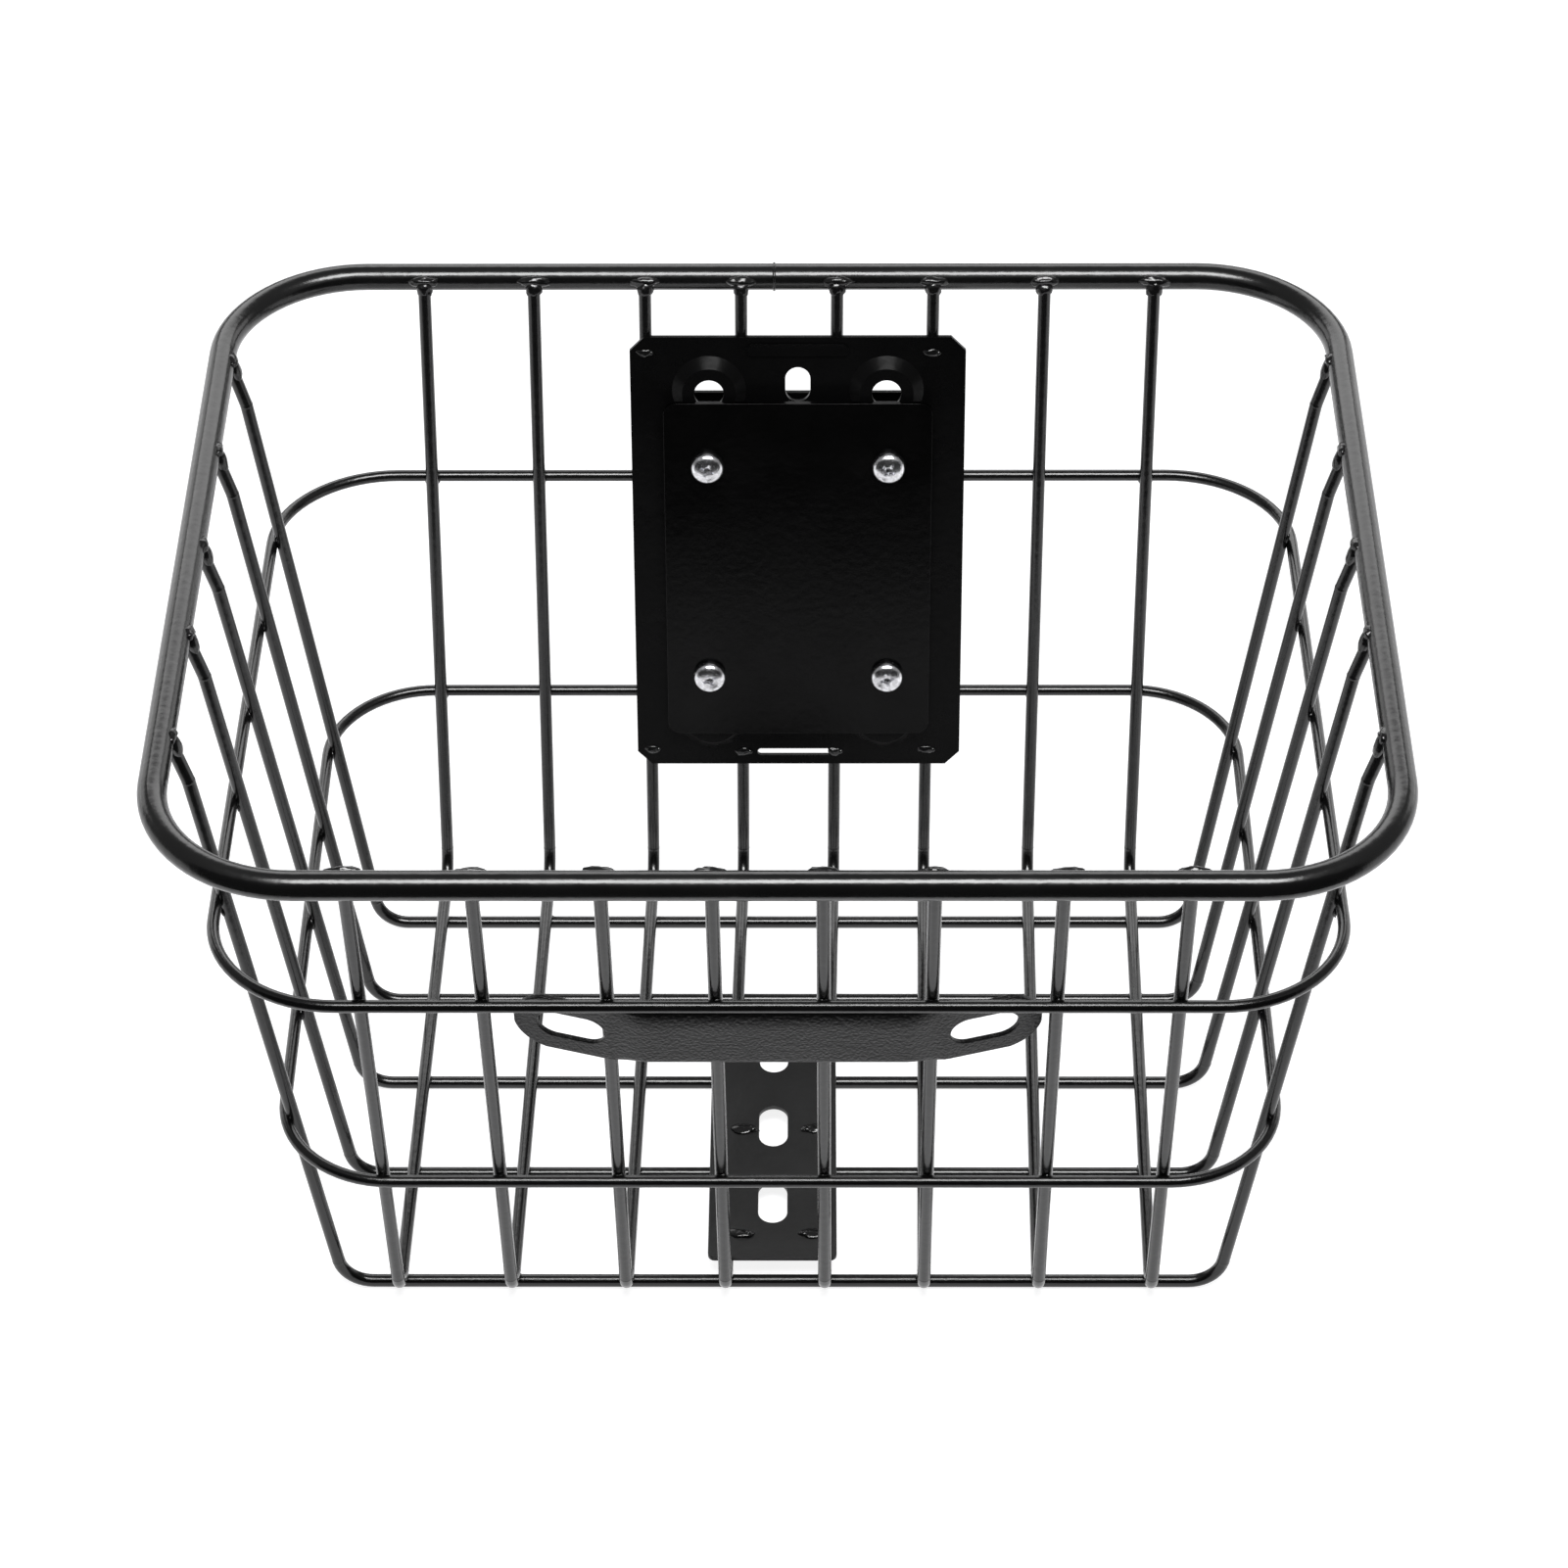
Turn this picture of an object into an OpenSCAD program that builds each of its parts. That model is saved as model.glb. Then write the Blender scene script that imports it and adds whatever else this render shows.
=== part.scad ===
// Welded wire handlebar basket for a bicycle.
// Millimetres. +X right, +Y towards the bicycle (the mount plate's side), +Z up.
// The origin is on the ground under the middle of the rim.

/* [Basket] */
// outside width of the rim
overall_w = 338; // [330:1:350]
// outside depth of the rim
overall_d = 282; // [276:1:290]
// height from the ground to the top of the rim
overall_h = 210; // [204:1:218]
// diameter of the rim rod
rim_rod_d = 8; // [7.6:0.1:8.4]
// corner radius of the rim, to the middle of the rod
rim_corner_r = 40; // [36:1:48]
// diameter of the upright and floor wires
wire_d = 3.8; // [3.6:0.1:4]
// bend radius where a wire turns from wall to floor, to its middle
wire_bend_r = 10; // [8:0.5:14]
// depth that crossing wires sink into each other where they are welded
weld_sink = 0.4; // [0.3:0.05:0.5]

/* [Front-to-back wires] */
// middle pair, distance from the centre line
long_x_1 = 14.5; // [14:0.5:16]
// second pair
long_x_2 = 43.5; // [42:0.5:45]
// third pair
long_x_3 = 77; // [75:0.5:79]
// outer pair
long_x_4 = 110; // [108:0.5:112]
// floor length between the bend corners
floor_run_d = 185; // [182:1:188]
// angle that these wires run askew to the rim
long_skew = 1; // [0:0.1:1.2]

/* [Side-to-side wires] */
// floor width between the bend corners
floor_run_w = 257; // [254:1:260]
// floor position of wire 1, nearest the bicycle
cross_floor_1 = 71; // [69:0.5:73]
// floor position of wire 2
cross_floor_2 = 35; // [33:0.5:37]
// floor position of wire 3
cross_floor_3 = -2; // [-4:0.5:0]
// floor position of wire 4
cross_floor_4 = -41; // [-43:0.5:-39]
// floor position of wire 5
cross_floor_5 = -85; // [-86:0.5:-83]
// rim position of wire 1
cross_top_1 = 92; // [90:0.5:94]
// rim position of wire 2
cross_top_2 = 48; // [46:0.5:50]
// rim position of wire 3
cross_top_3 = 4; // [2:0.5:6]
// rim position of wire 4
cross_top_4 = -35; // [-37:0.5:-33]
// rim position of wire 5
cross_top_5 = -79; // [-81:0.5:-77]

/* [Rings] */
// diameter of the ring wire
ring_wire_d = 3.5; // [3.3:0.1:3.7]
// height of the upper ring's middle
upper_ring_z = 146.5; // [145:0.5:148]
// height that the upper ring drops from front to back
upper_ring_drop = 10; // [9:0.5:11]
// corner radius of the upper ring
upper_ring_r = 36; // [34:1:38]
// height of the lower ring
lower_ring_z = 67.5; // [66:0.5:69]
// corner radius of the lower ring
lower_ring_r = 32; // [31:1:33]

/* [Mount plate] */
// width
mount_w = 102; // [100:0.5:104]
// height along the wall
mount_h = 148; // [146:0.5:150]
// sheet thickness
mount_t = 1.5; // [1.4:0.1:1.6]
// corner chamfer
mount_chamfer = 4.5; // [4:0.5:7]
// height of its middle above the floor corner, along the wall
mount_mid = 114.9; // [114.5:0.1:115.3]
// distance of the whole clamp to the right of the centre line
mount_x = 4.9; // [4:0.1:5.5]
// sideways distance of the round embosses from the centre line
boss_x = 27; // [26.5:0.1:27.5]
// up and down distance of the embosses from the plate's middle
boss_y = 56.5; // [56:0.1:57]
// height of the embosses
boss_h = 3; // [2.8:0.1:3.2]
// diameter of an emboss at its foot
boss_foot_d = 22.6; // [22:0.1:23]
// diameter of an emboss at its top
boss_top_d = 16.4; // [16:0.1:17]
// diameter of the hole in an emboss
boss_hole_d = 9; // [8.6:0.1:9.4]
// width of the top centre slot
top_slot_w = 7.6; // [7.2:0.1:8]
// length of the top centre slot
top_slot_l = 11.4; // [11:0.1:12]

/* [Cover plate and rear plate] */
// cover plate width
cover_w = 82; // [80:0.5:84]
// cover plate height along the wall
cover_h = 114.4; // [113:0.2:116]
// thickness of the cover plate and the rear plate
cover_t = 2; // [1.8:0.1:2.2]
// corner radius
cover_r = 4; // [3:0.5:5]
// height of its middle above the floor corner, along the wall
cover_mid = 111.8; // [111.4:0.1:112.2]
// rear plate height along the wall
rear_h = 110; // [108:0.5:111]
// screw spacing across
screw_dx = 55.5; // [55:0.1:56]
// screw spacing up and down
screw_dy = 72.6; // [72:0.1:73.2]
// screw thread diameter
screw_d = 5; // [4.8:0.1:5]
// screw head diameter
screw_head_d = 10; // [9.4:0.1:10]
// screw head height
screw_head_h = 3.6; // [3.2:0.1:3.8]
// screw length under the head
screw_len = 25; // [24:0.5:28]

/* [Floor plate] */
// width
floor_plate_w = 38; // [37:0.5:40]
// length
floor_plate_l = 109; // [108:0.5:111]
// sheet thickness
floor_plate_t = 1.5; // [1.4:0.1:1.6]
// position of its middle
floor_plate_y = -27.2; // [-28:0.1:-26.5]
// distance of its middle from the centre line
floor_plate_x = -2.5; // [-3:0.1:0]
// width of its slots
floor_slot_w = 8.6; // [8.2:0.1:9]
// length of its slots
floor_slot_l = 17; // [16:0.5:18]
// distance from slot to slot
floor_slot_pitch = 31.8; // [31:0.1:32.5]

/* [Front bracket] */
// overall width
bracket_w = 143; // [141:0.5:145]
// height of the sheet
bracket_h = 23; // [22:0.5:24]
// sheet thickness
bracket_t = 1.5; // [1.4:0.1:1.8]
// distance from the centre line to each bend
bracket_bend_x = 46; // [45.5:0.5:48]
// angle of the swept-back ends
bracket_sweep = 14; // [12:1:15]
// distance between the slot centres
bracket_slot_pitch = 111.5; // [111:0.5:112]
// slot length
bracket_slot_l = 19; // [18:0.5:20]
// slot width
bracket_slot_w = 10.6; // [10:0.1:11]

/* [Output] */
// node to draw

/* [Hidden] */
$fn = 48;
black = [0.05, 0.05, 0.055];
zinc = [0.78, 0.79, 0.8];

rim_r = rim_rod_d / 2;
rim_x = overall_w / 2 - rim_r;
rim_y = overall_d / 2 - rim_r;
rim_z = overall_h - rim_r;
wire_r = wire_d / 2;
ring_r = ring_wire_d / 2;

// Side-to-side wires lie on the ground; front-to-back wires rest on top of them.
cross_z = wire_r;
long_z = cross_z + wire_d - weld_sink;

// Wire tips stop low on the inner side of the rim, 0.6 mm into it.
tip_gap = rim_r + wire_r - 0.6;
long_tip_z = rim_z - 2;
long_tip_y = rim_y - sqrt(tip_gap * tip_gap - 4);
cross_tip_z = rim_z - 3.6;
cross_tip_x = rim_x - 3.4;
cross_kink_z = rim_z - 14;
cross_kink_x = rim_x - 6.4;
knuckle_gap = 0.2;

// The walls lean out by these angles.
lean_y = atan((long_tip_y - floor_run_d / 2) / (long_tip_z - long_z));
lean_x = atan((cross_kink_x - floor_run_w / 2) / (cross_kink_z - cross_z));
ring_off = wire_r + ring_r - weld_sink;

mount_back = wire_r - weld_sink;
mount_front = mount_back + mount_t;
cover_back = mount_front + boss_h;
cover_front = cover_back + cover_t;
rear_front = -ring_off - ring_r;
rear_back = rear_front - cover_t;
washer_t = 1;
washer_d = 10;
nut_h = 4;
nut_flats = 8;

// Distance from the centre plane of the basket to the axis of a ring at height z.
function ring_y(z) = floor_run_d / 2 + (z - long_z) * tan(lean_y) + ring_off / cos(lean_y);
function ring_x(z) = floor_run_w / 2 + (z - cross_z) * tan(lean_x) + ring_off / cos(lean_x) - 0.3;

// A wire is drawn as a chain of pieces in the XY plane, each starting where the last one ended and
// heading along +Y. bend() turns left.
module straight(l, w) {
  rotate([-90, 0, 0]) cylinder(h = l, r = w);
  translate([0, l, 0]) children();
}

module bend(a, r, w) {
  translate([-r, 0, 0]) {
    rotate_extrude(angle = a) translate([r, 0]) circle(r = w);
    rotate([0, 0, a]) translate([r, 0, 0]) children();
  }
}

// A ball just larger than the wire, which joins two pieces that meet in a tipped plane.
module knuckle(w) {
  rotate([90, 0, 0]) sphere(r = w + 0.06);
  translate([0, knuckle_gap, 0]) children();
}

// Stands the chain up in the XZ plane, heading along +X, and adds its mirror image.
module both_halves() {
  for (s = [0, 1]) mirror([s, 0, 0]) rotate([90, 0, 0]) rotate([0, 0, -90]) children();
}

// A closed loop of rod, half sizes x and y to its middle, corner radius r, rod radius w.
module rod_loop(x, y, r, w) {
  a = x - r;
  b = y - r;
  for (i = [0, 1], j = [0, 1]) mirror([i, 0, 0]) mirror([0, j, 0]) {
    translate([0, b, 0]) {
      translate([0, r, 0]) rotate([0, 90, 0]) cylinder(h = a, r = w);
      translate([a, 0, 0]) rotate_extrude(angle = 90) translate([r, 0]) circle(r = w);
    }
    translate([a, 0, 0]) translate([r, 0, 0]) rotate([-90, 0, 0]) cylinder(h = b, r = w);
  }
}

// Draws in the rear wall's own frame: +Y up the wall, +Z into the basket, zero at the floor corner.
module on_rear_wall() {
  translate([0, floor_run_d / 2, long_z]) rotate([90 - lean_y, 0, 0]) children();
}

module on_front_wall() {
  mirror([0, 1, 0]) on_rear_wall() children();
}

module rounded_sheet(w, h, r) {
  square([w - 2 * r, h], center = true);
  square([w, h - 2 * r], center = true);
  for (x = [-1, 1], y = [-1, 1]) translate([x * (w / 2 - r), y * (h / 2 - r)]) circle(r = r);
}

module slot(l, w) {
  square([l - w, w], center = true);
  for (x = [-1, 1]) translate([x * (l - w) / 2, 0]) circle(d = w);
}

module at_screws() {
  on_rear_wall() for (x = [-1, 1], y = [-1, 1])
    translate([mount_x + x * screw_dx / 2, cover_mid + y * screw_dy / 2, 0]) mirror([x < 0 ? 1 : 0, 0, 0]) children();
}

module rim() {
  color(black) translate([0, 0, rim_z]) rod_loop(rim_x, rim_y, rim_corner_r, rim_r);
}

module long_wire(x) {
  turn = 90 - lean_y;
  trim = wire_bend_r * tan(turn / 2);
  rise = norm([long_tip_y - floor_run_d / 2, long_tip_z - long_z]);
  color(black) translate([x, 0, long_z]) rotate([0, 0, 90 - long_skew]) both_halves()
    straight(floor_run_d / 2 - trim - knuckle_gap, wire_r) knuckle(wire_r)
      bend(turn, wire_bend_r, wire_r) knuckle(wire_r) straight(rise - trim - knuckle_gap, wire_r);
}

module long_wire_1() long_wire(-long_x_4);
module long_wire_2() long_wire(-long_x_3);
module long_wire_3() long_wire(-long_x_2);
module long_wire_4() long_wire(-long_x_1);
module long_wire_5() long_wire(long_x_1);
module long_wire_6() long_wire(long_x_2);
module long_wire_7() long_wire(long_x_3);
module long_wire_8() long_wire(long_x_4);

// A side-to-side wire lies in a plane that tips about its floor run, from y_floor to y_top.
// Each end kinks outwards just below the rim.
module cross_wire(y_floor, y_top) {
  tip = atan((y_top - y_floor) / (cross_tip_z - cross_z));
  wall = [cross_kink_x - floor_run_w / 2, (cross_kink_z - cross_z) / cos(tip)];
  end = [cross_tip_x - cross_kink_x, (cross_tip_z - cross_kink_z) / cos(tip)];
  turn = atan2(wall[1], wall[0]);
  kink = turn - atan2(end[1], end[0]);
  trim = wire_bend_r * tan(turn / 2);
  color(black) translate([0, y_floor, cross_z]) rotate([-tip, 0, 0]) both_halves()
    straight(floor_run_w / 2 - trim, wire_r) bend(turn, wire_bend_r, wire_r) knuckle(wire_r)
      straight(norm(wall) - trim - knuckle_gap, wire_r) rotate([0, 0, -kink]) knuckle(wire_r)
        straight(norm(end) - knuckle_gap, wire_r);
}

module cross_wire_1() cross_wire(cross_floor_1, cross_top_1);
module cross_wire_2() cross_wire(cross_floor_2, cross_top_2);
module cross_wire_3() cross_wire(cross_floor_3, cross_top_3);
module cross_wire_4() cross_wire(cross_floor_4, cross_top_4);
module cross_wire_5() cross_wire(cross_floor_5, cross_top_5);

// The upper ring tips down towards the back, and still touches the front and rear walls.
module upper_ring() {
  front = ring_y(upper_ring_z + upper_ring_drop / 2);
  back = ring_y(upper_ring_z - upper_ring_drop / 2);
  color(black) translate([0, (back - front) / 2, upper_ring_z])
    rotate([-atan(upper_ring_drop / (back + front)), 0, 0])
      rod_loop(ring_x(upper_ring_z), norm([back + front, upper_ring_drop]) / 2, upper_ring_r, ring_r);
}

module lower_ring() {
  color(black) translate([0, 0, lower_ring_z])
    rod_loop(ring_x(lower_ring_z), ring_y(lower_ring_z), lower_ring_r, ring_r);
}

module mount_outline() {
  c = mount_chamfer;
  x = mount_w / 2;
  y = mount_h / 2;
  polygon([[-x, -y + c], [-x + c, -y], [x - c, -y], [x, -y + c],
    [x, y - c], [x - c, y], [-x + c, y], [-x, y - c]]);
}

module mount_plate() {
  color(black) on_rear_wall() translate([mount_x, mount_mid, mount_back]) difference() {
    union() {
      linear_extrude(mount_t) mount_outline();
      for (x = [-1, 1], y = [-1, 1]) translate([x * boss_x, y * boss_y, mount_t - 0.01])
        cylinder(h = boss_h + 0.01, d1 = boss_foot_d, d2 = boss_top_d);
      translate([0, mount_h / 2 - 4.2, mount_t]) linear_extrude(0.8) slot(31, 3.6);
    }
    for (x = [-1, 1], y = [-1, 1]) translate([x * boss_x, y * boss_y, -0.01]) {
      cylinder(h = boss_h + 0.01, d1 = boss_foot_d - 2.4, d2 = boss_top_d - 2.4);
      cylinder(h = boss_h + mount_t + 1, d = boss_hole_d);
    }
    translate([0, mount_h / 2 - 15.7, -1]) rotate([0, 0, 90])
      linear_extrude(mount_t + 2) slot(top_slot_l, top_slot_w);
    translate([0, -mount_h / 2 + 4.3, -1]) linear_extrude(mount_t + 2) slot(26, 2.4);
    for (x = [-1, 1], y = [-1, 1])
      translate([x * screw_dx / 2, cover_mid - mount_mid + y * screw_dy / 2, -1])
        cylinder(h = mount_t + boss_h + 2, d = screw_d + 1);
  }
}

module clamp_sheet(h, z) {
  color(black) difference() {
    on_rear_wall() translate([mount_x, cover_mid, z]) linear_extrude(cover_t)
      rounded_sheet(cover_w, h, cover_r);
    at_screws() translate([0, 0, z - 1]) cylinder(h = cover_t + 2, d = screw_d + 0.5);
  }
}

module cover_plate() clamp_sheet(cover_h, cover_back);
module rear_plate() clamp_sheet(rear_h, rear_back);

// Pan heads with a cross recess; the thread is a plain rod.
module clamp_screws() {
  bevel = 1.2;
  color(zinc) at_screws() difference() {
    union() {
      translate([0, 0, cover_front - screw_len]) cylinder(h = screw_len + 0.5, d = screw_d);
      translate([0, 0, cover_front]) cylinder(h = screw_head_h - bevel, d = screw_head_d);
      translate([0, 0, cover_front + screw_head_h - bevel])
        cylinder(h = bevel, d1 = screw_head_d, d2 = screw_head_d - 2.6);
    }
    for (a = [0, 90]) translate([0, 0, cover_front + screw_head_h - 1.1]) rotate([0, 0, a + 25])
      cube([5, 1.2, 2.4], center = true);
  }
}

module clamp_washers() {
  color(zinc) at_screws() translate([0, 0, rear_back - washer_t]) difference() {
    cylinder(h = washer_t, d = washer_d);
    translate([0, 0, -1]) cylinder(h = washer_t + 2, d = screw_d + 0.3);
  }
}

module clamp_nuts() {
  color(zinc) at_screws() translate([0, 0, rear_back - washer_t - nut_h]) difference() {
    cylinder(h = nut_h, d = nut_flats / cos(30), $fn = 6);
    translate([0, 0, -1]) cylinder(h = nut_h + 2, d = screw_d + 0.1);
  }
}

module floor_plate() {
  color(black) translate([floor_plate_x, floor_plate_y, long_z + wire_r - weld_sink])
    linear_extrude(floor_plate_t) difference() {
      rounded_sheet(floor_plate_w, floor_plate_l, 2);
      for (k = [-1:1]) translate([0, k * floor_slot_pitch]) rotate(90) slot(floor_slot_l, floor_slot_w);
    }
}

// The bent strip seen along its height, its outer face on y = 0 between the bends.
module bracket_profile() {
  l = (bracket_w / 2 - bracket_bend_x) / cos(bracket_sweep);
  u = [cos(bracket_sweep), sin(bracket_sweep)];
  bend = [bracket_bend_x, 0];
  in_bend = [bracket_bend_x - bracket_t * tan(bracket_sweep / 2), bracket_t];
  tip = bend + l * u;
  in_tip = tip + bracket_t * [-u[1], u[0]];
  right = [bend, tip, in_tip, in_bend];
  polygon([for (p = right) p, for (i = [3:-1:0]) [-right[i][0], right[i][1]]]);
}

// What is cut from one swept-back end: its slot and its corners.
module bracket_end_cuts() {
  l = (bracket_w / 2 - bracket_bend_x) / cos(bracket_sweep);
  r = bracket_h / 2 + 0.4;
  linear_extrude(3 * bracket_t, center = true) {
    translate([(bracket_slot_pitch / 2 - bracket_bend_x) / cos(bracket_sweep), 0])
      slot(bracket_slot_l, bracket_slot_w);
    translate([l - r, 0]) difference() {
      translate([0, -r - 2]) square([r + 5, 2 * r + 4]);
      circle(r = r);
    }
  }
}

module front_bracket() {
  t = (upper_ring_z + upper_ring_drop / 2 - long_z) / cos(lean_y) - ring_r - bracket_h / 2;
  color(black) on_front_wall() translate([0, t, -wire_r + weld_sink - bracket_t]) difference() {
    translate([0, bracket_h / 2, 0]) rotate([90, 0, 0]) linear_extrude(bracket_h) bracket_profile();
    for (s = [0, 1]) mirror([s, 0, 0]) translate([bracket_bend_x, 0, bracket_t / 2])
      rotate([0, -bracket_sweep, 0]) bracket_end_cuts();
  }
}

rim();
long_wire_1();
long_wire_2();
long_wire_3();
long_wire_4();
long_wire_5();
long_wire_6();
long_wire_7();
long_wire_8();
cross_wire_1();
cross_wire_2();
cross_wire_3();
cross_wire_4();
cross_wire_5();
upper_ring();
lower_ring();
mount_plate();
cover_plate();
rear_plate();
floor_plate();
front_bracket();
clamp_screws();
clamp_washers();
clamp_nuts();
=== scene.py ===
import math
import random

import bmesh
import bpy
import numpy as np
from mathutils import Matrix, Vector, noise


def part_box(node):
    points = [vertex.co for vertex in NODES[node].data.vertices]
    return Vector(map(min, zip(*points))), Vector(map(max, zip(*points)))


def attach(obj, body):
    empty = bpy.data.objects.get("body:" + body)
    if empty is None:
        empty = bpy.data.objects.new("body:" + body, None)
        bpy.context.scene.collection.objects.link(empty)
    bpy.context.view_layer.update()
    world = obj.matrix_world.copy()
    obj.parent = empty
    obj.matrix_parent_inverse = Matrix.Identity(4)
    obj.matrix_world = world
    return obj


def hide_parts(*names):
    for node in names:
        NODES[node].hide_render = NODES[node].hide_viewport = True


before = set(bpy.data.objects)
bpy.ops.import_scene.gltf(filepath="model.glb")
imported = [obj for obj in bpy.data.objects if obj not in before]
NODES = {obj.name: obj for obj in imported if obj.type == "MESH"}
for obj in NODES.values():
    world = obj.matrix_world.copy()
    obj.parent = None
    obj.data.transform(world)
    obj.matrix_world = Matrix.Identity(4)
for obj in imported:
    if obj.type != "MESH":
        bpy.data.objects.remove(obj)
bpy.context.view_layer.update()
MM = 0.001

# ---------------------------------------------------------------- measures taken from the frame


def middle(node):
    """The middle of a node's box."""
    lo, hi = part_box(node)
    return (lo + hi) / 2


def size(node):
    """The lengths of a node's box."""
    lo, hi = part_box(node)
    return hi - lo


RIM_R = size("rim").z / 2
RIM_Z = middle("rim").z
RIM_X = size("rim").x / 2 - RIM_R
RIM_Y = size("rim").y / 2 - RIM_R
WIRE_R = 1.9 * MM        # the radius of every wire but the rim and the two rings
RING_R = size("lower_ring").z / 2
SINK = 0.4 * MM          # how deep welded wires sit in each other
SKEW = (size("long_wire_1").x - 2 * WIRE_R) / (size("long_wire_1").y - 2 * WIRE_R)
RING_OFF = WIRE_R + RING_R - SINK
LONG_X = [middle(f"long_wire_{i}").x for i in range(1, 9)]     # eight front-to-back wires
CROSS_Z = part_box("cross_wire_1")[0].z + WIRE_R
# The five side wires, on the floor and at the rim.
CROSS_FLOOR_Y = [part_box(f"cross_wire_{i}")[0].y + WIRE_R for i in range(1, 6)]
CROSS_TOP_Y = [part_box(f"cross_wire_{i}")[1].y - WIRE_R for i in range(1, 6)]
LOWER_Z = middle("lower_ring").z
UPPER_BACK_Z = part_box("upper_ring")[0].z + RING_R
UPPER_FRONT_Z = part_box("upper_ring")[1].z - RING_R
UPPER_SIDE_Z = middle("upper_ring").z
FLOOR_MARK_Y = middle("floor_plate").y - 1.4 * MM     # the rear pair of weld marks on the floor plate
FLOOR_MARK_PITCH = 43.6 * MM                          # from there to the front pair


class Wall:
    """The plane that the wires of one wall lie in, as the distance of their middle from the centre line."""

    def __init__(self, low, high):
        self.low = low
        self.slope = (high[0] - low[0]) / (high[1] - low[1])
        self.lean = math.atan(self.slope)

    def at(self, z):
        return self.low[0] + self.slope * (z - self.low[1])


def wall_through(ring_out, tip_out, tip_z):
    """A wall from the lower ring's outside and the wires' tips. Each pass betters the guess of its lean."""
    lean = 0.19
    for _ in range(4):
        low = (ring_out - RING_R - RING_OFF / math.cos(lean), LOWER_Z)
        high = (tip_out - WIRE_R * math.cos(lean), tip_z - WIRE_R * math.sin(lean))
        wall = Wall(low, high)
        lean = wall.lean
    return wall


LONG_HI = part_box("long_wire_1")[1]
CROSS_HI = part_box("cross_wire_3")[1]
KINK_OUT = 1.5 * MM      # how far the kinked tips of the side wires stand out of their wall
END_WALL = wall_through(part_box("lower_ring")[1].y, LONG_HI.y, LONG_HI.z)
SIDE_WALL = wall_through(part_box("lower_ring")[1].x, CROSS_HI.x - KINK_OUT, CROSS_HI.z)


def cross_y(i, z):
    """Where side wire i (0 is nearest the bicycle) stands at height z."""
    rise = (z - CROSS_Z) / (CROSS_HI.z - CROSS_Z)
    return CROSS_FLOOR_Y[i] + rise * (CROSS_TOP_Y[i] - CROSS_FLOOR_Y[i])


def long_x(k, y):
    """Where front-to-back wire k runs at y: these wires lie slightly askew."""
    return LONG_X[k] + SKEW * y


# The rear wall's own axes: up the wall, and out of it into the basket.
UP = Vector((0, math.sin(END_WALL.lean), math.cos(END_WALL.lean)))
INWARD = Vector((0, -math.cos(END_WALL.lean), math.sin(END_WALL.lean)))
RIGHT = Vector((1, 0, 0))
BACK = Vector((0, 1, 0))
ABOVE = Vector((0, 0, 1))


# ---------------------------------------------------------------- materials


class Nodes:
    """A material under construction: a Principled shader and short helpers for its node tree."""

    def __init__(self, name, **values):
        self.material = bpy.data.materials.new(name)
        self.material.use_nodes = True
        self.tree = self.material.node_tree
        self.shader = self.tree.nodes["Principled BSDF"]
        for socket, value in values.items():
            self.shader.inputs[socket.replace("_", " ")].default_value = value
        self.place = self.add("ShaderNodeTexCoord").outputs["Object"]

    def add(self, kind, **settings):
        node = self.tree.nodes.new(kind)
        for key, value in settings.items():
            setattr(node, key, value)
        return node

    def link(self, a, b):
        self.tree.links.new(a, b)

    def noise(self, scale, detail=3.0, roughness=0.55):
        n = self.add("ShaderNodeTexNoise")
        n.inputs["Scale"].default_value = scale
        n.inputs["Detail"].default_value = detail
        n.inputs["Roughness"].default_value = roughness
        self.link(self.place, n.inputs["Vector"])
        return n.outputs["Fac"]

    def cells(self, scale):
        n = self.add("ShaderNodeTexVoronoi", feature="F1")
        n.inputs["Scale"].default_value = scale
        self.link(self.place, n.inputs["Vector"])
        return n.outputs["Distance"]

    def spread(self, value, low, high, to_low, to_high):
        n = self.add("ShaderNodeMapRange")
        self.link(value, n.inputs["Value"])
        for socket, v in zip(("From Min", "From Max", "To Min", "To Max"), (low, high, to_low, to_high)):
            n.inputs[socket].default_value = v
        return n.outputs["Result"]

    def ramp(self, value, *stops):
        n = self.add("ShaderNodeValToRGB")
        self.link(value, n.inputs["Fac"])
        elements = n.color_ramp.elements
        while len(elements) < len(stops):
            elements.new(0.5)
        for element, (where, grey) in zip(elements, stops):
            element.position = where
            element.color = (grey, grey, grey * 1.03, 1)
        return n.outputs["Color"]

    def bump(self, height, strength, distance, under=None):
        n = self.add("ShaderNodeBump")
        n.inputs["Strength"].default_value = strength
        n.inputs["Distance"].default_value = distance
        self.link(height, n.inputs["Height"])
        if under is not None:
            self.link(under, n.inputs["Normal"])
        return n.outputs["Normal"]

    def finish(self, color, roughness, normal):
        self.link(color, self.shader.inputs["Base Color"])
        self.link(roughness, self.shader.inputs["Roughness"])
        self.link(normal, self.shader.inputs["Normal"])
        return self.material


def powder_coat(name, grey, rough, peel, gloss_level=0.5, peel_scale=420):
    """Black powder coat: an orange-peel skin with a fine grain in it and faint cloudy gloss changes."""
    n = Nodes(name, Specular_IOR_Level=gloss_level)
    color = n.ramp(n.noise(38, 4), (0.3, grey * 0.8), (0.7, grey * 1.25))
    gloss = n.spread(n.noise(60, 3), 0.3, 0.7, rough * 0.86, rough * 1.16)
    skin = n.bump(n.noise(peel_scale, 2, 0.4), peel, 0.4 * MM)
    grain = n.bump(n.cells(2600), peel * 0.35, 0.06 * MM, skin)
    return n.finish(color, gloss, grain)


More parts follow.
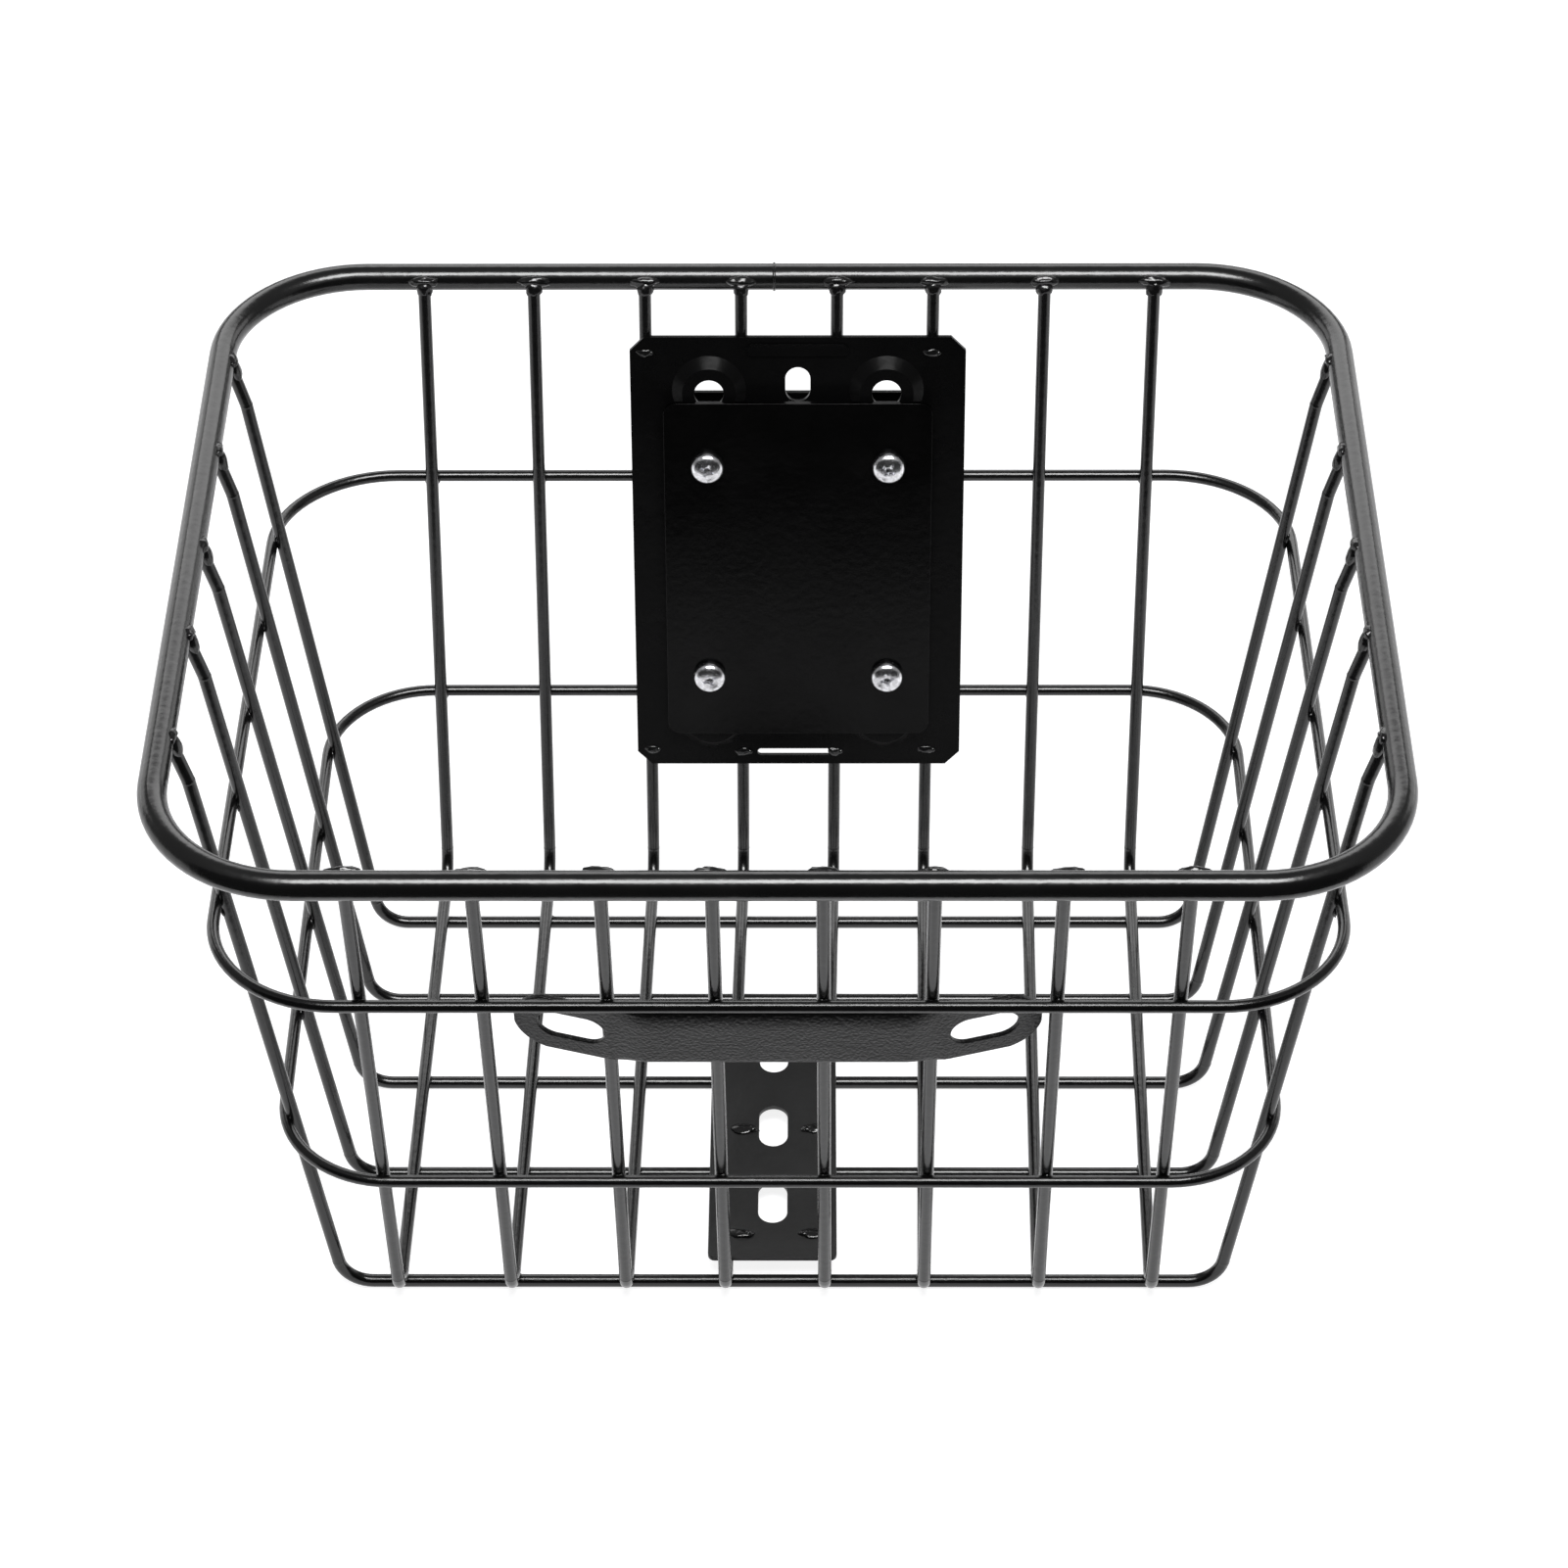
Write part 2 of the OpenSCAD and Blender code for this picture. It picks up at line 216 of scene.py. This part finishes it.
def zinc_plate(name, grey, rough):
    """Bright zinc plating, with faint blotches, fine turning marks and dull specks."""
    n = Nodes(name, Metallic=1.0)
    color = n.ramp(n.noise(900, 5), (0.25, grey * 0.7), (0.62, grey))
    gloss = n.spread(n.noise(1500, 4), 0.25, 0.75, rough * 0.7, rough * 1.5)
    normal = n.bump(n.noise(3200, 3), 0.35, 0.05 * MM)
    return n.finish(color, gloss, normal)


WIRE_COAT = powder_coat("black_wire_coat", 0.0025, 0.21, 0.16)
SHEET_COAT = powder_coat("black_sheet_coat", 0.005, 0.38, 0.25, 0.48)
BRACKET_COAT = powder_coat("black_bracket_coat", 0.004, 0.34, 0.8, 0.22, 1100)
PLATE_COAT = powder_coat("black_plate_coat", 0.0015, 0.28, 0.15, 0.08)
COVER_COAT = powder_coat("black_cover_coat", 0.0006, 0.22, 0.12, 0.12)
WELD_COAT = powder_coat("black_weld_coat", 0.003, 0.18, 0.5)
ZINC = zinc_plate("zinc_plated_steel", 0.82, 0.2)


def paint(obj, material):
    obj.data.materials.clear()
    obj.data.materials.append(material)


def rounded_edges(obj, width):
    """Softens the cut edges of a CAD sheet."""
    weld = obj.modifiers.new("weld", "WELD")
    weld.merge_threshold = 0.002 * MM
    flat = obj.modifiers.new("flat", "DECIMATE")
    flat.decimate_type = "DISSOLVE"
    flat.angle_limit = math.radians(1)
    bevel = obj.modifiers.new("edge", "BEVEL")
    bevel.width = width
    bevel.segments = 3
    bevel.limit_method = "ANGLE"
    bevel.angle_limit = math.radians(35)
    even = obj.modifiers.new("normals", "WEIGHTED_NORMAL")
    even.keep_sharp = True


# ---------------------------------------------------------------- mesh helpers


def new_piece(name, mesh, material):
    """Makes a smooth-shaded piece of the basket from a mesh."""
    obj = bpy.data.objects.new(name, mesh)
    bpy.context.scene.collection.objects.link(obj)
    paint(obj, material)
    for face in mesh.polygons:
        face.use_smooth = True
    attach(obj, "root")
    return obj


def sharpen(obj, angle=32):
    """Keeps edges steeper than the angle sharp under smooth shading."""
    obj.data.set_sharp_from_angle(angle=math.radians(angle))


def mesh_from(bm, name):
    """Turns a finished bmesh into a mesh."""
    mesh = bpy.data.meshes.new(name)
    bm.to_mesh(mesh)
    bm.free()
    return mesh


def ring_points(steps):
    """The unit circle's points, as (cosine, sine)."""
    return [(math.cos(2 * math.pi * k / steps), math.sin(2 * math.pi * k / steps)) for k in range(steps)]


def add_lump(bm, centre, axes, seed, ripple=0.22, detail=3):
    """Adds one blob of weld metal: an uneven ellipsoid whose half axes are the three vectors."""
    made = bmesh.ops.create_icosphere(bm, subdivisions=detail, radius=1.0)
    offset = Vector((seed * 7.31, seed * 3.77, seed * 1.93))
    place = Matrix(axes).transposed()
    for v in made["verts"]:
        bulge = 1 + ripple * noise.fractal(v.co * 1.4 + offset, 0.9, 2.1, 4)
        v.co = centre + place @ (v.co * bulge)


def lathe(bm, profile, steps, place=Matrix.Identity(4)):
    """Turns a profile of (radius, height) points about Z. A zero radius closes an end."""
    rings = []
    for r, z in profile:
        if r == 0:
            rings.append([bm.verts.new(place @ Vector((0, 0, z)))])
            continue
        rings.append([bm.verts.new(place @ Vector((r * c, r * s, z))) for c, s in ring_points(steps)])
    for a, b in zip(rings, rings[1:]):
        for k in range(steps):
            j = (k + 1) % steps
            if len(a) == 1:
                bm.faces.new((a[0], b[j], b[k]))
            elif len(b) == 1:
                bm.faces.new((a[k], a[j], b[0]))
            else:
                bm.faces.new((a[k], a[j], b[j], b[k]))


def cut(target, tool, operation):
    """Applies a boolean of two loose meshes and returns the result."""
    objects = []
    for mesh in (target, tool):
        obj = bpy.data.objects.new("cut", mesh)
        bpy.context.scene.collection.objects.link(obj)
        objects.append(obj)
    modifier = objects[0].modifiers.new("cut", "BOOLEAN")
    modifier.object = objects[1]
    modifier.operation = operation
    modifier.solver = "EXACT"
    graph = bpy.context.evaluated_depsgraph_get()
    result = bpy.data.meshes.new_from_object(objects[0].evaluated_get(graph))
    for obj in objects:
        bpy.data.objects.remove(obj)
    return result


# ---------------------------------------------------------------- welds


def rim_end_welds(dice):
    """T-shaped lumps at the tips of the front-to-back wires: a flat bar on the rim, a stem on the wire."""
    y = RIM_Y - RIM_R
    for side, name in ((1, "rim_welds_rear"), (-1, "rim_welds_front")):
        bm = bmesh.new()
        for k in range(len(LONG_X)):
            bar = Vector((long_x(k, side * y), side * y, RIM_Z + 0.9 * MM))
            long_half = dice.uniform(4.3, 5.0) * MM
            tilt = dice.uniform(-0.5, 0.5) * MM
            bar_axes = [Vector((long_half, 0, tilt)), BACK * 1.5 * MM, ABOVE * 1.7 * MM]
            add_lump(bm, bar, bar_axes, k + 40 * side, 0.3)
            stem = bar + Vector((0, -side * 0.7 * MM, -2.2 * MM))
            stem_axes = [RIGHT * 2.5 * MM, BACK * 2.1 * MM, Vector((0, 0.5 * side * MM, 2.6 * MM))]
            add_lump(bm, stem, stem_axes, k + 90 * side)
        new_piece(name, mesh_from(bm, name), WELD_COAT)


def rim_side_welds(dice):
    """Lumps at the tips of the side wires: a blob on the rim and a thickening of the wire's end."""
    for side, name in ((1, "rim_welds_right"), (-1, "rim_welds_left")):
        bm = bmesh.new()
        for i, y in enumerate(CROSS_TOP_Y):
            blob = Vector((side * (RIM_X - 3.3 * MM), y, RIM_Z + 1.2 * MM))
            blob_axes = [Vector((1.6 * MM, 0, -side * 0.5 * MM)), BACK * dice.uniform(2.6, 3.3) * MM,
                         Vector((side * 0.5 * MM, 0, 1.6 * MM))]
            add_lump(bm, blob, blob_axes, i + 17 * side, 0.3)
            tip = Vector((side * (RIM_X - 4.1 * MM), y, RIM_Z - 2.4 * MM))
            tip_axes = [RIGHT * 1.75 * MM, BACK * 2.15 * MM, Vector((side * 0.6 * MM, 0, 4.2 * MM))]
            add_lump(bm, tip, tip_axes, i + 170 * side, 0.12)
        new_piece(name, mesh_from(bm, name), WELD_COAT)


def rim_seam():
    """The low, uneven bead of the butt weld that closes the rim, near the middle of its rear run."""
    dice = random.Random(5)
    half = 0.6 * MM
    foot = RIM_R - 0.2 * MM
    centre = Vector((-2.2 * MM, RIM_Y, RIM_Z))
    bm = bmesh.new()
    rings = []
    for c, s in ring_points(48):
        out = Vector((0, c, s))
        crest = RIM_R + dice.uniform(0.28, 0.42) * MM
        section = ((foot, -half), (crest, -0.3 * half), (crest, 0.3 * half), (foot, half))
        rings.append([bm.verts.new(centre + out * r + RIGHT * x) for r, x in section])
    for a, b in zip(rings, rings[1:] + rings[:1]):
        for i in range(4):
            j = (i + 1) % 4
            bm.faces.new((a[i], a[j], b[j], b[i]))
    bmesh.ops.recalc_face_normals(bm, faces=bm.faces)
    new_piece("rim_seam", mesh_from(bm, "rim_seam"), WELD_COAT)


def crossing_welds():
    """Small fused fillets where the wires cross: at both rings and all over the floor."""
    dice = random.Random(23)
    touch = WIRE_R - SINK / 2

    def fillet(bm, at, along_a, along_b, through, seed):
        axes = [along_a * dice.uniform(1.9, 2.4) * MM, along_b * dice.uniform(1.9, 2.4) * MM,
                through * 0.75 * MM]
        add_lump(bm, at, axes, seed, 0.3, 2)

    heights = (("upper_ring_welds", UPPER_BACK_Z, UPPER_FRONT_Z, UPPER_SIDE_Z),
               ("lower_ring_welds", LOWER_Z, LOWER_Z, LOWER_Z))
    for name, back_z, front_z, side_z in heights:
        bm = bmesh.new()
        for side, z in ((1, back_z), (-1, front_z)):
            out = Vector((0, side * math.cos(END_WALL.lean), -math.sin(END_WALL.lean)))
            up = Vector((0, side * math.sin(END_WALL.lean), math.cos(END_WALL.lean)))
            for k in range(len(LONG_X)):
                y = side * END_WALL.at(z)
                at = Vector((long_x(k, y), y, z)) + out * touch
                fillet(bm, at, RIGHT, up, out, k + 60 * side)
        for side in (1, -1):
            out = Vector((side * math.cos(SIDE_WALL.lean), 0, -math.sin(SIDE_WALL.lean)))
            up = Vector((side * math.sin(SIDE_WALL.lean), 0, math.cos(SIDE_WALL.lean)))
            for i in range(len(CROSS_TOP_Y)):
                at = Vector((side * SIDE_WALL.at(side_z), cross_y(i, side_z), side_z)) + out * touch
                fillet(bm, at, BACK, up, out, i + 300 * side)
        new_piece(name, mesh_from(bm, name), WELD_COAT)
    bm = bmesh.new()
    for k in range(len(LONG_X)):
        for i, y in enumerate(CROSS_FLOOR_Y):
            at = Vector((long_x(k, y), y, CROSS_Z + touch))
            fillet(bm, at, RIGHT, BACK, ABOVE, 500 + 10 * k + i)
    new_piece("floor_welds", mesh_from(bm, "floor_welds"), WELD_COAT)


# ---------------------------------------------------------------- plates


def wall_point(node, x, up_share):
    """A point on the basket side of a rear-wall plate, up_share of its height up from its lower edge."""
    co = np.array([v.co for v in NODES[node].data.vertices])
    up = co @ np.array(UP)
    face = (co @ np.array(INWARD)).max()
    rise = up.min() + up_share * (up.max() - up.min())
    return RIGHT * x + UP * rise + INWARD * face


def mount_plate_marks():
    """Marks of the welds that hold the mount plate to its wires: a flat lump with a small knob."""
    dice = random.Random(3)
    boss_h = 3.0 * MM
    sunk = 0.15 * MM
    places = [(2, 0.965), (5, 0.965), (2, 0.035), (5, 0.035), (3, 0.03), (4, 0.03)]
    bm = bmesh.new()
    for k, (wire, share) in enumerate(places):
        x = long_x(wire, middle("mount_plate").y)
        centre = wall_point("mount_plate", x, share) - INWARD * (boss_h + sunk)
        long_half = dice.uniform(2.2, 3.0) * MM
        add_lump(bm, centre, [RIGHT * long_half, UP * 1.5 * MM, INWARD * 0.9 * MM], k + 3, 0.3)
        knob_axes = [RIGHT * 0.9 * MM, UP * 0.9 * MM, INWARD * 0.95 * MM]
        add_lump(bm, centre + RIGHT * long_half * 0.8, knob_axes, k + 30, 0.3, 2)
    new_piece("mount_plate_welds", mesh_from(bm, "mount_plate_welds"), WELD_COAT)


def floor_plate_marks():
    """The same marks on the floor plate, in two pairs between its slots."""
    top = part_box("floor_plate")[1].z
    bm = bmesh.new()
    for k, y in enumerate((FLOOR_MARK_Y, FLOOR_MARK_Y - FLOOR_MARK_PITCH)):
        for side, wire in ((-1, 3), (1, 4)):
            centre = Vector((long_x(wire, y) - side * 4.0 * MM, y, top - 0.1 * MM))
            add_lump(bm, centre, [RIGHT * 4.0 * MM, BACK * 2.0 * MM, ABOVE * 1.0 * MM], 70 + k + side, 0.35)
            knob_axes = [RIGHT * 1.3 * MM, BACK * 1.2 * MM, ABOVE * 1.2 * MM]
            add_lump(bm, centre - RIGHT * side * 2.2 * MM, knob_axes, 80 + k + side, 0.3, 2)
    new_piece("floor_plate_welds", mesh_from(bm, "floor_plate_welds"), WELD_COAT)


def bracket_face():
    """The pressed middle of the front bracket: a low pillow that runs out flat before the bends."""
    lean = END_WALL.lean
    out = Vector((0, -math.cos(lean), -math.sin(lean)))
    up = Vector((0, -math.sin(lean), math.cos(lean)))
    co = np.array([v.co for v in NODES["front_bracket"].data.vertices])
    face = (co @ np.array(out)).max()
    low, high = (co @ np.array(up)).min(), (co @ np.array(up)).max()
    half = 45.5 * MM
    height = 1.9 * MM
    fade = 11 * MM
    top_round = 6.5 * MM
    low_round = 2.4 * MM
    edge_sunk = 0.05 * MM
    back_sunk = 0.7 * MM
    columns, rows = 200, 44

    def rise(x, v):
        top = min(1, (high - low - v) / top_round)
        bottom = min(1, v / low_round)
        over = math.sqrt(1 - (1 - top) ** 2) * math.sqrt(1 - (1 - bottom) ** 2)
        end = min(1, max(0, (half - abs(x)) / fade))
        return height * over * end * end * (3 - 2 * end) - edge_sunk

    def sheet(front):
        grid = []
        for i in range(columns + 1):
            x = half * (2 * i / columns - 1)
            line = []
            for j in range(rows + 1):
                v = (high - low) * (1 - math.cos(math.pi * j / rows)) / 2
                depth = rise(x, v) if front else -back_sunk
                line.append(bm.verts.new(RIGHT * x + up * (low + v) + out * (face + depth)))
            grid.append(line)
        return grid

    bm = bmesh.new()
    a, b = sheet(True), sheet(False)
    for i in range(columns):
        for j in range(rows):
            bm.faces.new((a[i][j], a[i + 1][j], a[i + 1][j + 1], a[i][j + 1]))
            bm.faces.new((b[i][j], b[i][j + 1], b[i + 1][j + 1], b[i + 1][j]))
    for i in range(columns):
        bm.faces.new((a[i][0], b[i][0], b[i + 1][0], a[i + 1][0]))
        bm.faces.new((a[i][rows], a[i + 1][rows], b[i + 1][rows], b[i][rows]))
    for j in range(rows):
        bm.faces.new((a[0][j], a[0][j + 1], b[0][j + 1], b[0][j]))
        bm.faces.new((a[columns][j], b[columns][j], b[columns][j + 1], a[columns][j + 1]))
    bmesh.ops.recalc_face_normals(bm, faces=bm.faces)
    obj = new_piece("bracket_face", mesh_from(bm, "bracket_face"), BRACKET_COAT)
    sharpen(obj, 60)


# ---------------------------------------------------------------- fasteners


def solids_of(node):
    """The four solids of a fastener node, as arrays of points, from the signs of x and of the height."""
    co = np.array([v.co for v in NODES[node].data.vertices])
    up = co @ np.array(UP)
    split = (up.min() + up.max()) / 2
    return [co[((co[:, 0] > 0) == right) & ((up > split) == high)]
            for right in (False, True) for high in (False, True)]


def fastener_places(node):
    """(origin at the middle of the lowest face, height, radius) along INWARD for each solid of the node."""
    found = []
    for co in solids_of(node):
        along = co @ np.array(INWARD)
        up = co @ np.array(UP)
        x = (co[:, 0].min() + co[:, 0].max()) / 2
        rise = (up.min() + up.max()) / 2
        origin = RIGHT * x + UP * rise + INWARD * along.min()
        found.append((origin, along.max() - along.min(), (up.max() - up.min()) / 2))
    return found


def at_place(origin, turn):
    """The place of a fastener: its own Z runs along INWARD."""
    axes = Matrix((RIGHT, UP, INWARD)).transposed().to_4x4()
    return Matrix.Translation(origin) @ axes @ Matrix.Rotation(turn, 4, "Z")


def thread(bm, radius, pitch, bottom, top, steps=28, rows=6):
    """A right-hand thread as one wrapped surface."""
    depth = 0.3 * MM
    count = int((top - bottom) / pitch * rows)
    rings = []
    for i in range(count + 1):
        z = bottom + (top - bottom) * i / count
        fade = min(1, (z - bottom) / (0.8 * pitch))
        ring = []
        for k in range(steps):
            t = 2 * math.pi * k / steps
            phase = ((z / pitch) - k / steps) % 1
            crest = 1 - abs(2 * phase - 1)
            r = radius - depth * (1 - crest * fade)
            ring.append(bm.verts.new((r * math.cos(t), r * math.sin(t), z)))
        rings.append(ring)
    for a, b in zip(rings, rings[1:]):
        for k in range(steps):
            j = (k + 1) % steps
            bm.faces.new((a[k], a[j], b[j], b[k]))
    bm.faces.new(list(reversed(rings[0])))
    bm.faces.new(rings[-1])


def cross_recess(bottom, top, reach):
    """The cutters of a cross recess: a centre cone and two tapered blades."""
    bm = bmesh.new()
    tip = bottom + 0.5 * MM
    over = top + 0.6 * MM
    lathe(bm, [(0, bottom), (1.0 * MM, tip), (1.4 * MM, over), (0, over)], 24)
    bmesh.ops.recalc_face_normals(bm, faces=bm.faces)
    cutters = [mesh_from(bm, "cone")]
    for turn in (0, 1):
        bm = bmesh.new()
        spin = Matrix.Rotation(turn * math.pi / 2, 4, "Z")
        a, b = [], []
        for end, z, half_l, half_w in ((a, tip, reach * 0.6, 0.34 * MM), (b, over, reach, 0.55 * MM)):
            for x, y in ((-1, -1), (1, -1), (1, 1), (-1, 1)):
                end.append(bm.verts.new(spin @ Vector((x * half_l, y * half_w, z))))
        bm.faces.new(list(reversed(a)))
        bm.faces.new(b)
        for k in range(4):
            j = (k + 1) % 4
            bm.faces.new((a[k], a[j], b[j], b[k]))
        bmesh.ops.recalc_face_normals(bm, faces=bm.faces)
        cutters.append(mesh_from(bm, "blade"))
    return cutters


def screws():
    """Pan-head machine screws with a cross recess and a cut thread."""
    head_h = 3.6 * MM
    head_r = 5.0 * MM
    dome_h = 2.1 * MM        # the domed part of the head's height
    under = 0.25 * MM        # chamfer under the head
    recess_deep = 1.9 * MM
    recess_reach = 2.5 * MM
    dome = []
    for i in range(13):
        t = i / 12 * math.pi / 2
        dome.append((head_r * math.cos(t) ** 0.62, head_h - dome_h + dome_h * math.sin(t)))
    dome[-1] = (0, head_h)
    for k, (origin, length, _) in enumerate(fastener_places("clamp_screws")):
        seat = length - head_h
        bm = bmesh.new()
        lathe(bm, [(0, 0), (head_r - under, 0), (head_r, under)] + dome, 64)
        bmesh.ops.recalc_face_normals(bm, faces=bm.faces)
        head = mesh_from(bm, "head")
        for cutter in cross_recess(head_h - recess_deep, head_h, recess_reach):
            head = cut(head, cutter, "DIFFERENCE")
        bm = bmesh.new()
        bm.from_mesh(head)
        bmesh.ops.translate(bm, verts=bm.verts, vec=(0, 0, seat))
        thread(bm, radius=2.5 * MM, pitch=0.8 * MM, bottom=0, top=seat + 0.2 * MM)
        bmesh.ops.transform(bm, matrix=at_place(origin, math.radians(25 + 40 * k)), verts=bm.verts)
        name = f"screw_{k + 1}"
        obj = new_piece(name, mesh_from(bm, name), ZINC)
        sharpen(obj)
        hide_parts("clamp_screws")


def washers():
    """Plain washers with broken edges."""
    for k, (origin, height, radius) in enumerate(fastener_places("clamp_washers")):
        bm = bmesh.new()
        hole = 2.65 * MM
        edge = 0.15 * MM
        lower = [(hole, edge), (hole + edge, 0), (radius - edge, 0), (radius, edge)]
        profile = lower + [(r, height - z) for r, z in reversed(lower)] + [(hole, edge)]
        lathe(bm, profile, 64, at_place(origin, 0))
        bmesh.ops.remove_doubles(bm, verts=bm.verts, dist=1e-6)
        bmesh.ops.recalc_face_normals(bm, faces=bm.faces)
        name = f"washer_{k + 1}"
        obj = new_piece(name, mesh_from(bm, name), ZINC)
        sharpen(obj)
        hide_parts("clamp_washers")


def nuts():
    """Hexagon nuts, chamfered on both faces, with a countersunk bore."""
    flat_r = 4.0 * MM
    corner = flat_r / math.cos(math.pi / 6)
    wide = corner + 0.1 * MM
    slope = 0.45 * MM
    past = 0.01 * MM
    bore_r = 2.56 * MM
    sink_r = 3.0 * MM
    for k, (origin, height, _) in enumerate(fastener_places("clamp_nuts")):
        bm = bmesh.new()
        lathe(bm, [(0, 0), (corner, 0), (corner, height), (0, height)], 6)
        bmesh.ops.recalc_face_normals(bm, faces=bm.faces)
        prism = mesh_from(bm, "prism")
        bm = bmesh.new()
        lathe(bm, [(0, -past), (flat_r, -past), (wide, slope),
                   (wide, height - slope), (flat_r, height + past), (0, height + past)], 72)
        bmesh.ops.recalc_face_normals(bm, faces=bm.faces)
        body = cut(prism, mesh_from(bm, "cone"), "INTERSECT")
        bm = bmesh.new()
        lathe(bm, [(0, -1 * MM), (sink_r, -1 * MM), (sink_r, 0.1 * MM), (bore_r, 0.5 * MM),
                   (bore_r, height - 0.5 * MM), (sink_r, height - 0.1 * MM), (sink_r, height + 1 * MM),
                   (0, height + 1 * MM)], 48)
        bmesh.ops.recalc_face_normals(bm, faces=bm.faces)
        body = cut(body, mesh_from(bm, "bore"), "DIFFERENCE")
        body.transform(at_place(origin, math.radians(17 * k)))
        name = f"nut_{k + 1}"
        obj = new_piece(name, body, ZINC)
        sharpen(obj, 28)
        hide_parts("clamp_nuts")


# ---------------------------------------------------------------- studio


def quad(name, corners):
    """A single flat face, as an object."""
    mesh = bpy.data.meshes.new(name)
    mesh.from_pydata(corners, [], [(0, 1, 2, 3)])
    obj = bpy.data.objects.new(name, mesh)
    bpy.context.scene.collection.objects.link(obj)
    return obj


def studio():
    """A pale floor that glows faintly, as a light table does, four soft lamps and a black card."""
    half = 6.0
    floor = quad("floor", [(-half, -half, 0), (half, -half, 0), (half, half, 0), (-half, half, 0)])
    n = Nodes("floor_paper", Specular_IOR_Level=0.1)
    paper = n.ramp(n.noise(6, 2), (0.3, 0.34), (0.7, 0.36))
    n.shader.inputs["Emission Color"].default_value = (1, 1, 1, 1)
    n.shader.inputs["Emission Strength"].default_value = 0.85
    n.finish(paper, n.spread(n.noise(40, 2), 0, 1, 0.85, 0.95), n.bump(n.noise(800, 2), 0.05, 0.1 * MM))
    paint(floor, n.material)

    world = bpy.data.worlds.new("studio")
    world.use_nodes = True
    sky = world.node_tree.nodes["Background"]
    sky.inputs["Color"].default_value = (1, 1, 1, 1)
    sky.inputs["Strength"].default_value = 0.25
    bpy.context.scene.world = world

    softbox("key", (0.05, -0.43, 1.2), (0, 0.02, 0.1), 0.75, 0.42, 19)
    softbox("back", (0, 1.7, 1.15), (0, 0, 0.1), 2.2, 0.95, 18)
    softbox("left", (-1.6, 1.4, 0.55), (0, 0, 0.15), 1.1, 1.1, 5.5)
    softbox("right", (1.6, 1.4, 0.55), (0, 0, 0.15), 1.1, 1.1, 5.5)
    flag()


def flag():
    """A black card close in front of the basket, which only reflections see."""
    y = -0.27
    half = 0.6
    low, high = 0.002, 0.42
    card = quad("flag", [(-half, y, low), (half, y, low), (half, y, high), (-half, y, high)])
    n = Nodes("flag_black", Specular_IOR_Level=0.0)
    n.finish(n.ramp(n.noise(6, 2), (0.3, 0.004), (0.7, 0.006)), n.spread(n.noise(6, 2), 0, 1, 0.9, 1.0),
             n.bump(n.noise(300, 2), 0.05, 0.1 * MM))
    paint(card, n.material)
    card.visible_camera = False
    card.visible_diffuse = False
    card.visible_shadow = False


def softbox(name, place, target, wide, high, power):
    """A rectangular lamp aimed at the target."""
    light = bpy.data.lights.new(name, "AREA")
    light.shape = "RECTANGLE"
    light.size = wide
    light.size_y = high
    light.energy = power
    obj = bpy.data.objects.new(name, light)
    obj.location = place
    obj.rotation_euler = (Vector(target) - Vector(place)).to_track_quat("-Z", "Y").to_euler()
    bpy.context.scene.collection.objects.link(obj)


def camera():
    """Looks down into the basket from in front, as the photograph does."""
    place = (0.0095, -1.0238, 1.0091)
    yaw, pitch, roll = (math.radians(a) for a in (-0.473, 40.910, -0.318))
    ahead = Vector((math.sin(yaw) * math.cos(pitch), math.cos(yaw) * math.cos(pitch), -math.sin(pitch)))
    right = Vector((math.cos(yaw), -math.sin(yaw), 0))
    up = right.cross(ahead)
    x = right * math.cos(roll) + up * math.sin(roll)
    y = up * math.cos(roll) - right * math.sin(roll)
    data = bpy.data.cameras.new("camera")
    data.lens = 106.65
    data.sensor_width = 36.0
    data.clip_start = 0.05
    obj = bpy.data.objects.new("camera", data)
    aim = Matrix((x, y, -ahead)).transposed().to_4x4()
    obj.matrix_world = Matrix.Translation(place) @ aim
    bpy.context.scene.collection.objects.link(obj)
    bpy.context.scene.camera = obj


# ---------------------------------------------------------------- the basket

for node, obj in NODES.items():
    paint(obj, WIRE_COAT)
sheets = (("mount_plate", PLATE_COAT, 0.3), ("cover_plate", COVER_COAT, 0.7),
          ("rear_plate", PLATE_COAT, 0.3), ("floor_plate", SHEET_COAT, 0.35),
          ("front_bracket", BRACKET_COAT, 0.35))
for node, coat, edge in sheets:
    paint(NODES[node], coat)
    rounded_edges(NODES[node], edge * MM)

rim_dice = random.Random(11)
rim_end_welds(rim_dice)
rim_side_welds(rim_dice)
rim_seam()
crossing_welds()
mount_plate_marks()
floor_plate_marks()
bracket_face()
screws()
washers()
nuts()
studio()
camera()
bpy.context.scene.view_settings.view_transform = "Standard"
